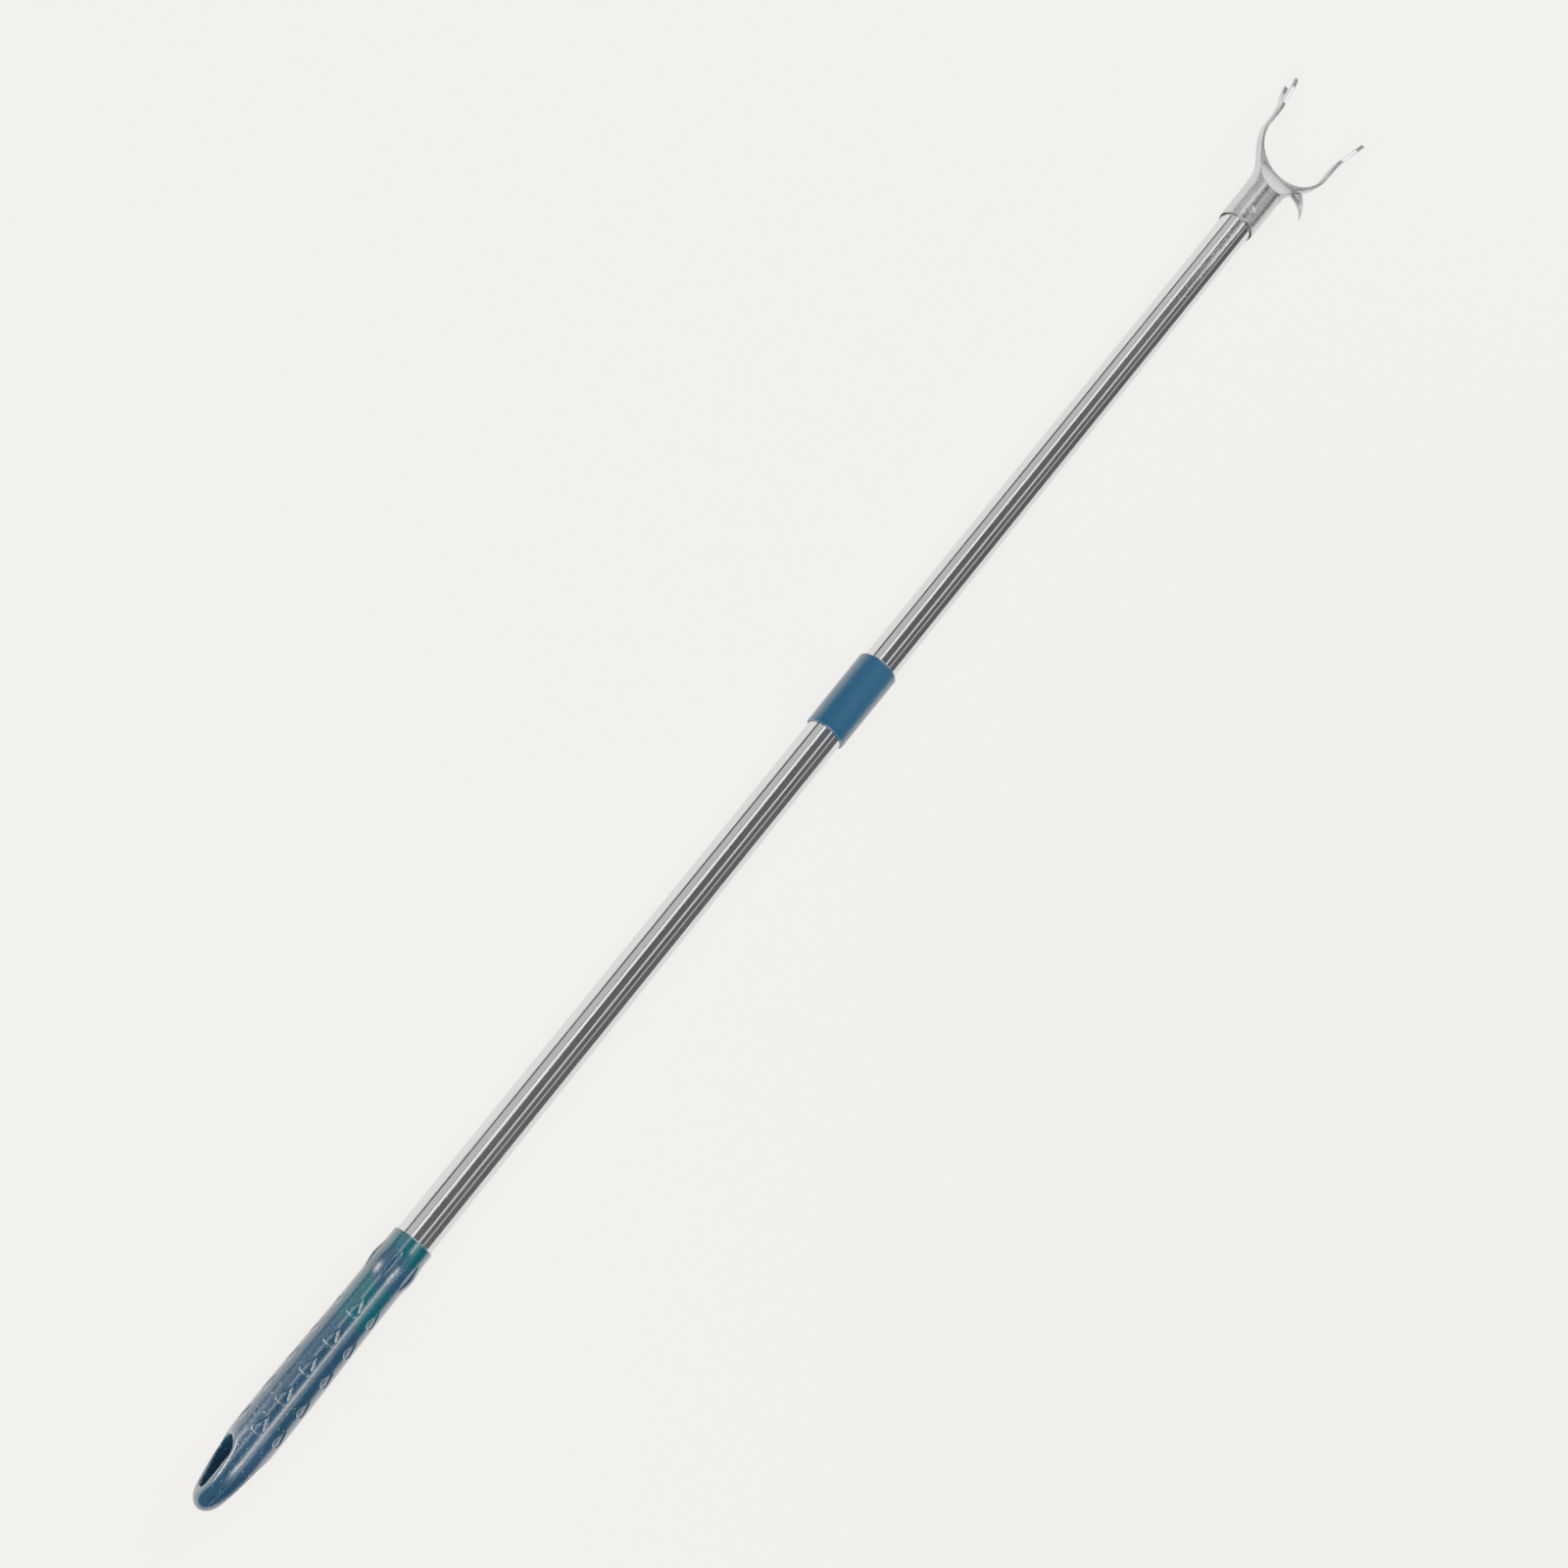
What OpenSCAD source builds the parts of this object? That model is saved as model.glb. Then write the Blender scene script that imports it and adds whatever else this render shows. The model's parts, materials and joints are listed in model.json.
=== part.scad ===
// Telescopic reach pole: two sliding steel tubes with a twist lock, a cast fork with a side
// claw at the top, a plain collar at the joint and a moulded grip with a hanging hole.
//
// The pole lies along X, with the grip's nose at -X and the fork's tips at +X. +Z is up, and
// the fork lies flat. The origin is the middle of the bounding box's bottom face.
// Stations along the pole are measured from the grip's nose towards the fork.

/* [Tubes] */
// Outside diameter of the lower tube
lower_tube_d = 22; // [21:0.5:23]
// Wall of both tubes
tube_wall = 0.3; // [0.3:0.1:0.5]
// Radial gap between the two tubes
tube_gap = 0.1; // [0.08:0.01:0.12]
// Length of the lower tube
lower_tube_len = 518; // [480:1:560]
// Length of the upper tube
upper_tube_len = 492; // [480:1:503]
// Upper tube that shows between the collar and the fork's socket
upper_tube_shown = 385; // [370:1:390]

/* [Collar] */
// Length of the collar
collar_len = 52; // [45:1:60]
// Outside diameter at the collar's upper end
collar_top_d = 25.8; // [25.6:0.1:27]
// Outside diameter at the collar's lower end
collar_low_d = 25.2; // [25:0.1:26]
// Collar that reaches past the lower tube's end
collar_lip = 10; // [9:0.5:12]

/* [Grip] */
// Length of the grip
grip_len = 166; // [166:1:176]
// Radius at the grip's mouth and waist
grip_mouth_r = 12.1; // [11.9:0.1:12.3]
// Largest radius of the grip, at its belly and its upper swell
grip_belly_r = 13.2; // [13:0.1:13.4]
// Lower tube inside the grip
tube_in_grip = 116; // [110:1:118]
// How far the hanging hole is turned up from level
grip_turn = 14; // [0:1:30]
// Rows of drops and of flutes around the grip
grip_rows = 6; // [4:1:6]
// Drops in each row
drops_per_row = 5; // [3:1:5]
// Distance between drops along a row
drop_pitch = 18; // [16:0.5:18]
// Depth of each drop
drop_depth = 0.6; // [0.3:0.1:0.7]

/* [Fork] */
// Length of the fork from its socket's mouth to its tips
fork_len = 108; // [107:1:110]
// Outside radius of the socket
socket_r = 12.1; // [12:0.1:12.4]
// Upper tube inside the socket
tube_in_socket = 29; // [24:1:29]
// Radius of the cradle between the arms
cradle_r = 24; // [23:0.5:24.5]
// Width of each arm across the fork
arm_w = 2.4; // [2.2:0.1:3]
// Depth of each arm, along Z
arm_t = 8; // [7:0.5:9]
// Distance between the two arms' tips
tip_spread = 61.6; // [60:0.2:63]
// Outside height over the two prongs at each tip
prong_h = 16; // [14:0.5:17]

/* [Twist lock] */
// Offset of the cam from the pole's axis
cam_offset = 0.6; // [0.5:0.05:0.6]
// Radial gap between the lock ring and the lower tube, unlocked
lock_gap = 0.45; // [0.42:0.01:0.5]

/* [Hidden] */
$fn = 96;

seat_gap = 0.03;       // radial gap of parts that are pressed or glued together
run_gap = 0.1;         // radial gap of parts that turn on each other
eps = 0.01;

// Radii of the tubes
lower_tube_r = lower_tube_d / 2;
lower_tube_bore = lower_tube_r - tube_wall;
upper_tube_r = lower_tube_bore - tube_gap;
upper_tube_bore = upper_tube_r - tube_wall;

// Stations along the pole
lower_tube_start = grip_len - tube_in_grip;
lower_tube_end = lower_tube_start + lower_tube_len;
collar_end = lower_tube_end + collar_lip;
collar_start = collar_end - collar_len;
socket_start = collar_end + upper_tube_shown;
upper_tube_end = socket_start + tube_in_socket;
upper_tube_start = upper_tube_end - upper_tube_len;
pole_len = socket_start + fork_len;
axis_h = grip_belly_r;

// Puts a shape that is modelled along Z on the pole's axis, at a station.
module on_axis(station = 0) {
    translate([station - pole_len / 2, 0, axis_h]) rotate([0, 90, 0]) children();
}

module tube(r, bore, len) {
    difference() {
        cylinder(r = r, h = len);
        translate([0, 0, -eps]) cylinder(r = bore, h = len + 2 * eps);
    }
}

// ---- Grip ------------------------------------------------------------------

swell_centre = grip_len - 17;      // middle of the fluted swell
swell_half = 10.5;                 // half its length
waist_station = grip_len - 31;
belly_station = 60;
shoulder_station = 36;             // where the nose's flat sides begin
nose_round_r = 6.8;
mouth_round = 0.7;
first_drop = grip_len - 44.5;
drop_r = 3;                        // radius of a drop's round end
drop_point = 7;                    // from the round end's centre to the drop's point
flute_r = 4.5;
hole_big_r = 7.8;                  // hanging hole: its wide end, towards the mouth
hole_big_at = 29.5;
hole_small_r = 3.5;                // and its narrow end, where a peg bears
hole_small_at = 13;

// Grip's outer radius at a station: the swell, the waist, the belly and the round nose.
function bump(x) = abs(x) < 1 ? (1 + cos(180 * x)) / 2 : 0;
function ease(x) = x < 0 ? 0 : x > 1 ? 1 : (1 - cos(180 * x)) / 2;
function nose_r(s) = 12.9 * sqrt(max(0, 1 - pow(1 - min(1, s / 34), 2.3)));
function body_r(s) =
    grip_mouth_r + (grip_belly_r - grip_mouth_r) *
    (bump((s - swell_centre) / swell_half)
     + ease((waist_station - s) / (waist_station - belly_station)));
function grip_r(s) =
    s > 34 ? body_r(s) - (body_r(34) - 12.9) * ease((46 - s) / 12) : nose_r(s);

grip_stations = concat([for (i = [0 : 16]) 34 * (1 - cos(90 * i / 16))],
                       [for (s = [38 : 4 : 58]) s],
                       [belly_station],
                       [for (s = [68 : 8 : 132]) s],
                       [for (i = [-8 : 8]) swell_centre + i * swell_half / 8]);

module grip_blank() {
    rotate_extrude()
        polygon(concat([for (s = grip_stations) [grip_r(s), s]],
                       [[grip_mouth_r, grip_len - mouth_round],
                        [grip_mouth_r - mouth_round, grip_len], [0, grip_len]]));
}

// Side view of the nose: flat sides that close in towards a round end.
module nose_sides() {
    half = [for (a = [0 : 15 : 75]) [nose_round_r * sin(a), nose_round_r * (1 - cos(a))]];
    side = concat(half, [[6.9, 12], [8.3, 24], [9.8, 33], [11.4, shoulder_station],
                         [13.5, 40], [15, 44], [15, grip_len + 1]]);
    mirrored = [for (i = [len(side) - 1 : -1 : 1]) [-side[i][0], side[i][1]]];
    rotate([90, 0, 0]) linear_extrude(height = 40, center = true)
        polygon(concat(side, mirrored));
}

// Drop outline, its point towards +Y.
module drop_outline() {
    touch = acos(drop_r / drop_point);
    polygon(concat([[0, drop_point]],
                   [for (i = [0 : 12]) let (a = 90 + touch + i * (360 - 2 * touch) / 12)
                    [drop_r * cos(a), drop_r * sin(a)]]));
}

module drops() {
    for (row = [0 : grip_rows - 1], i = [0 : drops_per_row - 1]) {
        at = first_drop - i * drop_pitch;
        rotate([0, 0, row * 360 / grip_rows]) translate([grip_r(at) - drop_depth, 0, at - 2])
            rotate([90, 0, 90]) linear_extrude(height = 3) drop_outline();
    }
}

module flutes() {
    for (row = [0 : grip_rows - 1])
        rotate([0, 0, row * 360 / grip_rows])
            translate([grip_mouth_r + flute_r, 0, swell_centre - swell_half])
                cylinder(r = flute_r, h = 2 * swell_half, $fn = 48);
}

// Through hole with a wide and a narrow round end, along X.
module hanging_hole() {
    lean = asin((hole_big_r - hole_small_r) / (hole_big_at - hole_small_at));
    big = hole_big_r * [cos(lean), -sin(lean)];
    small = hole_small_r * [cos(lean), -sin(lean)];
    rotate([90, 0, 90]) translate([0, 0, -20]) {
        translate([0, hole_big_at, 0]) cylinder(r = hole_big_r, h = 40);
        translate([0, hole_small_at, 0]) cylinder(r = hole_small_r, h = 40);
        linear_extrude(height = 40)
            polygon([[big[0], hole_big_at + big[1]], [-big[0], hole_big_at + big[1]],
                     [-small[0], hole_small_at + small[1]],
                     [small[0], hole_small_at + small[1]]]);
    }
}

module grip() {
    color([0.16, 0.33, 0.42]) on_axis() rotate([0, 0, 90 + grip_turn]) difference() {
        intersection() {
            grip_blank();
            nose_sides();
        }
        translate([0, 0, lower_tube_start - 2.5])
            cylinder(r = lower_tube_r + seat_gap, h = grip_len);
        hanging_hole();
        flutes();
        drops();
    }
}

module tube_end_plug() {
    color("dimgray") on_axis(lower_tube_start - 2) difference() {
        union() {
            cylinder(r = lower_tube_r - 0.1, h = 2 - seat_gap);
            cylinder(r = lower_tube_bore - seat_gap, h = 15);
        }
        translate([0, 0, 3]) cylinder(r = lower_tube_bore - 1.8, h = 15);
    }
}

// ---- Lower tube and collar -------------------------------------------------

module lower_tube() {
    color("silver") on_axis(lower_tube_start) tube(lower_tube_r, lower_tube_bore, lower_tube_len);
}

bush_len = 5;
bush_r = 12;

// The collar widens towards its upper end, where a short straight band rests on the floor.
module collar() {
    edge = 0.5;
    band = 4;
    low_r = collar_low_d / 2;
    top_r = collar_top_d / 2;
    seat_end = collar_len - collar_lip + 0.1;
    color([0.18, 0.40, 0.55]) on_axis(collar_start) difference() {
        rotate_extrude() polygon([
            [0, 0], [low_r - edge, 0], [low_r, edge],
            [top_r, collar_len - band], [top_r, collar_len - edge],
            [top_r - edge, collar_len], [0, collar_len]]);
        translate([0, 0, -eps]) cylinder(r = lower_tube_r + seat_gap, h = seat_end + eps);
        translate([0, 0, -eps]) cylinder(r = upper_tube_r + 0.3, h = collar_len + 1);
        translate([0, 0, seat_end - eps]) cylinder(r = bush_r, h = bush_len + 0.2);
    }
}

// Split nylon bush in the collar, which the upper tube slides in.
module guide_bush() {
    color("ivory") on_axis(lower_tube_end + 0.2) difference() {
        tube(bush_r - seat_gap, upper_tube_r + 0.06, bush_len);
        translate([0, -0.6, -1]) cube([20, 1.2, bush_len + 2]);
    }
}

// ---- Twist lock ------------------------------------------------------------

plug_seat_len = 30;
flange_len = 3;
cam_len = 14;
cam_r = 6;
divider_len = 3;
divider_r = 9.4;
neck_len = 9.5;
neck_r = 5;
washer_len = 1.5;
screw_r = 1.9;
cam_start = upper_tube_start - flange_len - cam_len;
divider_start = cam_start - divider_len;
neck_start = divider_start - neck_len;
pin_station = upper_tube_start + 14;
pin_r = 1.25;

// Plug pressed into the upper tube. Its cam stands off the pole's axis, and its neck is true.
module cam_plug() {
    color("whitesmoke") difference() {
        union() {
            on_axis(upper_tube_start - 1) cylinder(r = upper_tube_bore - seat_gap, h = plug_seat_len);
            on_axis(upper_tube_start - flange_len) cylinder(r = upper_tube_r - 0.1, h = flange_len - seat_gap);
            on_axis(cam_start - eps) translate([-cam_offset, 0, 0]) cylinder(r = cam_r, h = cam_len + 2 * eps);
            on_axis(divider_start) cylinder(r = divider_r, h = divider_len);
            on_axis(neck_start) cylinder(r = neck_r, h = neck_len + eps);
        }
        on_axis(upper_tube_start + 4) cylinder(r = 6, h = plug_seat_len);
        on_axis(neck_start - eps) cylinder(r = screw_r + seat_gap, h = 16);
        translate([pin_station - pole_len / 2, 0, axis_h])
            rotate([90, 0, 0]) cylinder(r = pin_r + seat_gap, h = 40, center = true);
    }
}

// Cross pin that holds the plug in the upper tube.
module cam_plug_pin() {
    color("gray") translate([pin_station - pole_len / 2, 0, axis_h])
        rotate([90, 0, 0]) cylinder(r = pin_r, h = 2 * upper_tube_r - 0.4, center = true);
}

// Split ring on the cam. Turning the cam carries it out against the lower tube.
module lock_ring() {
    ring_len = cam_len - 1;
    color("steelblue") on_axis(cam_start + 0.5) difference() {
        cylinder(r = lower_tube_bore - lock_gap, h = ring_len);
        translate([-cam_offset, 0, -1]) cylinder(r = cam_r + run_gap, h = ring_len + 2);
        translate([0, -1, -1]) cube([20, 2, ring_len + 2]);
    }
}

// Ring that centres the upper tube's end and slides without turning.
module glide_ring() {
    ring_len = neck_len - 0.6;
    color("dimgray") on_axis(neck_start + 0.3)
        tube(lower_tube_bore - run_gap, neck_r + run_gap, ring_len);
}

module retaining_washer() {
    color("gray") on_axis(neck_start - washer_len) tube(8.5, screw_r + 0.2, washer_len - seat_gap);
}

module retaining_screw() {
    head_len = 2.4;
    color("darkgray") on_axis(neck_start - washer_len - head_len) difference() {
        union() {
            cylinder(r = 3.8, h = head_len - seat_gap);
            cylinder(r = screw_r, h = head_len + washer_len + 14);
        }
        for (a = [0, 90]) rotate([0, 0, a]) translate([-2, -0.4, -1]) cube([4, 0.8, 2.2]);
    }
}

// ---- Upper tube ------------------------------------------------------------

module upper_tube() {
    color("silver") difference() {
        on_axis(upper_tube_start) tube(upper_tube_r, upper_tube_bore, upper_tube_len);
        translate([pin_station - pole_len / 2, 0, axis_h])
            rotate([90, 0, 0]) cylinder(r = pin_r + seat_gap, h = 40, center = true);
        fork_rivet_at() cylinder(r = rivet_r + 0.1, h = 20);
    }
}

// ---- Fork ------------------------------------------------------------------

rivet_from_mouth = 8.7;
rivet_r = 1.45;
rivet_head_r = 2.5;
rivet_head_h = 1.2;
core_len = 27;
socket_bore = upper_tube_r + 0.12;
bore_len = tube_in_socket + 1.5;       // socket's blind bore
cradle_at = 48.5 + cradle_r;           // cradle's centre, from the socket's mouth
socket_len = 37;                       // round part, from the mouth
root_at = 33;                          // where it starts to flatten out
root_w = 29.8;                         // width of the root at the cradle's bottom
arm_bend_at = 86;                      // where an arm starts to lean out
ramp_start = 90.5;                     // where an arm splits into its two prongs
ramp_end = 100.5;
arm_y = cradle_r + arm_w / 2;          // middle of an arm at the cradle's centre
arm_bend_y = arm_y + 0.1;
tip_y = tip_spread / 2;
arm_lean = atan2(tip_y - arm_bend_y, fork_len - arm_bend_at);

// Curves of the fork's outline, each from its start, past two handles, to its end
flank = [[38, socket_r], [46.5, socket_r], [55.5, cradle_r + 0.2],
         [cradle_at - 3.5, cradle_r + arm_w]];
claw_back = [[56, -17], [51, -23.5], [45.5, -27.6], [37, -29.2]];
claw_front = [[37.2, -28.7], [42.5, -26.8], [46.5, -21.5], [45.4, -12]];

// Socket's mouth at the origin, X along the pole, Y across the fork.
module at_fork() {
    translate([socket_start - pole_len / 2, 0, axis_h]) children();
}

module fork_rivet_at() {
    at_fork() translate([rivet_from_mouth, 0, 0]) children();
}

// Core that fills the upper tube's end, for the fork's rivet to hold in.
module fork_core() {
    color("whitesmoke") difference() {
        on_axis(upper_tube_end - core_len) cylinder(r = upper_tube_bore - seat_gap, h = core_len);
        fork_rivet_at() cylinder(r = rivet_r + seat_gap, h = 20);
    }
}

// Rivet with a dished head, sunk in the socket.
module fork_rivet() {
    head_at = upper_tube_r + 0.15;
    dish = 0.5;
    color("gainsboro") fork_rivet_at() difference() {
        union() {
            translate([0, 0, 2]) cylinder(r = rivet_r, h = head_at - 1);
            translate([0, 0, head_at]) cylinder(r = rivet_head_r, h = rivet_head_h);
        }
        translate([0, 0, head_at + rivet_head_h - dish]) cylinder(r1 = 1, r2 = 1.9, h = dish + eps);
    }
}

function curve(c, n) =
    [for (i = [0 : n]) let (t = i / n, u = 1 - t)
     u * u * u * c[0] + 3 * u * u * t * c[1] + 3 * u * t * t * c[2] + t * t * t * c[3]];

function mirrored_back(half) =
    [for (i = [len(half) - 1 : -1 : 0]) if (half[i][1] > 0) [half[i][0], -half[i][1]]];

// Plan view: the socket's flanks, the cradle's rim and the two arms, which lean out at the end.
module plan_view() {
    past = 1;
    side = arm_w / 2;
    lean_side = side / cos(arm_lean);
    end_y = tip_y + past * tan(arm_lean);
    half = concat([[root_at, socket_r]], curve(flank, 12),
                  [[arm_bend_at, arm_bend_y + side], [fork_len + past, end_y + lean_side],
                   [fork_len + past, end_y - lean_side], [arm_bend_at, arm_bend_y - side],
                   [cradle_at - 0.3, cradle_r - 0.04], [cradle_at - 3.6, cradle_r - 0.5],
                   [cradle_at - 3.6, 0]]);
    linear_extrude(height = 30, center = true) polygon(concat(half, mirrored_back(half)));
}

// Side view: level arms, which split at their tips into two prongs with round ends.
module side_view() {
    out = prong_h / 2;
    end_r = 1.7;
    round_end = [for (a = [75 : -15 : -75])
                 [fork_len - end_r + end_r * cos(a), out - end_r + end_r * sin(a)]];
    half = concat([[root_at, arm_t / 2], [ramp_start, arm_t / 2], [ramp_end, out],
                   [fork_len - end_r, out]],
                  round_end,
                  [[fork_len - end_r, out - 2 * end_r], [ramp_end + 1, out - 2 * end_r],
                   [ramp_start + 1.6, 0]]);
    rotate([90, 0, 0]) linear_extrude(height = 80, center = true)
        polygon(concat(half, mirrored_back(half)));
}

// Claw on one side: a curved thorn that points back along the pole.
module claw() {
    translate([0, 0, -2.2]) linear_extrude(height = 4.4)
        polygon(concat(curve(claw_back, 10), curve(claw_front, 10)));
}

// Root of the fork, where the round socket flattens out into the two arms.
module root() {
    hull() {
        translate([root_at, 0, 0]) rotate([0, 90, 0])
            cylinder(r = socket_r - 0.1, h = 0.5, $fn = 64);
        translate([cradle_at - cradle_r, 0, 0]) cube([1, root_w, arm_t], center = true);
    }
}

// Scoop that thins the root towards the cradle's rim, cut above and below.
module scoops() {
    rim = cradle_at - cradle_r;
    scoop_at = 30.6;
    for (side = [0, 1]) mirror([0, 0, side])
        rotate([90, 0, 0]) linear_extrude(height = 60, center = true)
            polygon([[scoop_at, socket_r + 0.4], [rim - 12.7, 8.6], [rim - 7, 5.9],
                     [rim, arm_t / 2], [rim + 30, arm_t / 2], [rim + 30, 20], [scoop_at, 20]]);
}

module fork_head() {
    color([0.75, 0.75, 0.77]) at_fork() difference() {
        union() {
            rotate([0, 90, 0]) cylinder(r = socket_r, h = socket_len);
            intersection() {
                plan_view();
                union() {
                    side_view();
                    root();
                }
            }
            claw();
        }
        scoops();
        translate([cradle_at, 0, -20]) cylinder(r = cradle_r, h = 40);
        translate([-1, 0, 0]) rotate([0, 90, 0]) cylinder(r = socket_bore, h = bore_len + 1);
        translate([-1, 0, 0]) rotate([0, 90, 0])
            cylinder(r1 = socket_bore + 1.2, r2 = socket_bore - 0.1, h = 2.6);
        translate([rivet_from_mouth, 0, 0]) cylinder(r = rivet_head_r + 0.05, h = 20);
    }
}

grip();
tube_end_plug();
lower_tube();
collar();
guide_bush();
glide_ring();
retaining_screw();
retaining_washer();
lock_ring();
cam_plug();
cam_plug_pin();
upper_tube();
fork_core();
fork_rivet();
fork_head();
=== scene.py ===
import json
import math

import bmesh
import bpy
import numpy as np
from mathutils import Matrix, Vector


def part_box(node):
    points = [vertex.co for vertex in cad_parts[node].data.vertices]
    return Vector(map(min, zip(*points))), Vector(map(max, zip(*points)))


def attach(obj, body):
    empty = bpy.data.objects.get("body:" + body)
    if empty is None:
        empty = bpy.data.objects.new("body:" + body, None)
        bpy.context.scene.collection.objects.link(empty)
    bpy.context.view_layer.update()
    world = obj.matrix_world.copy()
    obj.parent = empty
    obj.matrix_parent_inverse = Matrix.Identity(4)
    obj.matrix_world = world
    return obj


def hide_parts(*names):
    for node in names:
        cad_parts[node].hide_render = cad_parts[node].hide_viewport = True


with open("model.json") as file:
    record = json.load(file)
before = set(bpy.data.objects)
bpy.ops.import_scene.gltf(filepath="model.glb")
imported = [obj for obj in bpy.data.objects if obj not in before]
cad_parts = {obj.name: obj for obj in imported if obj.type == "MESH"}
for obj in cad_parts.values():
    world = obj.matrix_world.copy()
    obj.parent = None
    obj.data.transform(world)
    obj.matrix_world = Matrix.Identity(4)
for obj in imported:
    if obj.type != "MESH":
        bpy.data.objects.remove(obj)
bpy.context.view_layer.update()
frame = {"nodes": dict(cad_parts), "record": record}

MM = 0.001


# ---- The part's own measures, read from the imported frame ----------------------

grip_lo, grip_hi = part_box("grip")
fork_lo, fork_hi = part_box("fork_head")
collar_lo, collar_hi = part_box("collar")
lower_lo, lower_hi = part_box("lower_tube")
upper_lo, upper_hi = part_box("upper_tube")
AXIS_Z = (lower_lo[2] + lower_hi[2]) / 2


# ---- Distance fields -----------------------------------------------------------
# Shapes below are in millimetres. A field is negative inside the shape.


def smooth_max(a, b, k):
    h = np.clip(0.5 + 0.5 * (a - b) / k, 0.0, 1.0)
    return b + (a - b) * h + k * h * (1.0 - h)


def smooth_min(a, b, k):
    return -smooth_max(-a, -b, k)


def step(x, lo, hi):
    t = np.clip((x - lo) / (hi - lo), 0.0, 1.0)
    return t * t * (3.0 - 2.0 * t)


def outline_field(points, u, v):
    """Signed distance from (u, v) to a closed outline."""
    pts = np.asarray(points, dtype=float)
    best = np.full(np.broadcast(u, v).shape, 1e9)
    inside = np.zeros(best.shape, dtype=bool)
    for (ax, ay), (bx, by) in zip(pts, np.roll(pts, -1, axis=0)):
        ex, ey = bx - ax, by - ay
        length = ex * ex + ey * ey
        if length < 1e-12:
            continue
        t = np.clip(((u - ax) * ex + (v - ay) * ey) / length, 0.0, 1.0)
        best = np.minimum(best, (u - ax - t * ex) ** 2 + (v - ay - t * ey) ** 2)
        cross = ((ay > v) != (by > v)) & (
            u < (bx - ax) * (v - ay) / (by - ay + 1e-300) + ax
        )
        inside ^= cross
    return np.where(inside, -1.0, 1.0) * np.sqrt(best)


def bezier(c, n):
    t = np.linspace(0.0, 1.0, n + 1)[:, None]
    c = np.asarray(c, dtype=float)
    return (
        (1 - t) ** 3 * c[0]
        + 3 * (1 - t) ** 2 * t * c[1]
        + 3 * (1 - t) * t**2 * c[2]
        + t**3 * c[3]
    )


SLAB = 32  # layers of the grid worked out at a time
SETTLE_STEPS = 3


def surface(field, lo, hi, cell):
    """Points and faces of a field's zero surface: surface nets, then steps down the slope."""
    axes = [np.arange(a - 2 * cell, b + 2.5 * cell, cell) for a, b in zip(lo, hi)]
    shape = tuple(len(a) for a in axes)
    d = np.empty(shape, dtype=np.float32)
    for i in range(0, shape[0], SLAB):
        x, y, z = np.meshgrid(axes[0][i : i + SLAB], axes[1], axes[2], indexing="ij")
        d[i : i + SLAB] = field(x, y, z)
    inside = d < 0
    corner_sum = np.zeros(tuple(n - 1 for n in shape), dtype=np.int8)
    for i in (0, 1):
        for j in (0, 1):
            for k in (0, 1):
                corner_sum += inside[
                    i : shape[0] - 1 + i, j : shape[1] - 1 + j, k : shape[2] - 1 + k
                ]
    active = (corner_sum > 0) & (corner_sum < 8)
    cells = np.argwhere(active)
    index = np.full(active.shape, -1, dtype=np.int64)
    index[active] = np.arange(len(cells))
    total = np.zeros((len(cells), 3))
    count = np.zeros(len(cells))
    ci, cj, ck = cells.T
    for axis in range(3):
        for a in (0, 1):
            for b in (0, 1):
                near = [a, b]
                near.insert(axis, 0)
                far = [a, b]
                far.insert(axis, 1)
                d0 = d[ci + near[0], cj + near[1], ck + near[2]]
                d1 = d[ci + far[0], cj + far[1], ck + far[2]]
                cut = (d0 < 0) != (d1 < 0)
                t = np.where(cut, d0 / np.where(cut, d0 - d1, 1.0), 0.0)
                at = np.array(near, dtype=float)[None, :].repeat(len(cells), 0)
                at[:, axis] += t
                total[cut] += at[cut]
                count += cut
    points = cells + total / count[:, None]
    points = points * cell + np.array([a[0] for a in axes])
    faces = []
    for axis in range(3):
        lower = [slice(None)] * 3
        upper = [slice(None)] * 3
        lower[axis] = slice(0, -1)
        upper[axis] = slice(1, None)
        a_in, b_in = inside[tuple(lower)], inside[tuple(upper)]
        edges = np.argwhere(a_in != b_in)
        o1, o2 = [k for k in range(3) if k != axis]
        keep = (edges[:, o1] > 0) & (edges[:, o2] > 0)
        keep &= (edges[:, o1] < shape[o1] - 1) & (edges[:, o2] < shape[o2] - 1)
        edges = edges[keep]
        ring = []
        for s1, s2 in ((-1, -1), (0, -1), (0, 0), (-1, 0)):
            c = edges.copy()
            c[:, o1] += s1
            c[:, o2] += s2
            ring.append(index[c[:, 0], c[:, 1], c[:, 2]])
        quad = np.stack(ring, axis=1)
        flip = a_in[edges[:, 0], edges[:, 1], edges[:, 2]]
        if axis == 1:
            flip = ~flip
        quad[~flip] = quad[~flip][:, ::-1]
        faces.append(quad)
    faces = np.concatenate(faces)
    for _ in range(SETTLE_STEPS):
        value, slope = field_and_slope(field, points, 0.05)
        size = np.maximum((slope**2).sum(1), 0.25)
        points = points - slope * np.clip(value / size, -cell * 0.5, cell * 0.5)[:, None]
    return points, faces


def field_and_slope(field, points, h):
    """The field and its gradient, by differences over h each way."""
    x, y, z = points.T
    value = field(x, y, z)
    slope = np.stack(
        [
            field(x + h, y, z) - field(x - h, y, z),
            field(x, y + h, z) - field(x, y - h, z),
            field(x, y, z + h) - field(x, y, z - h),
        ],
        axis=1,
    ) / (2 * h)
    return value, slope


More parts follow.
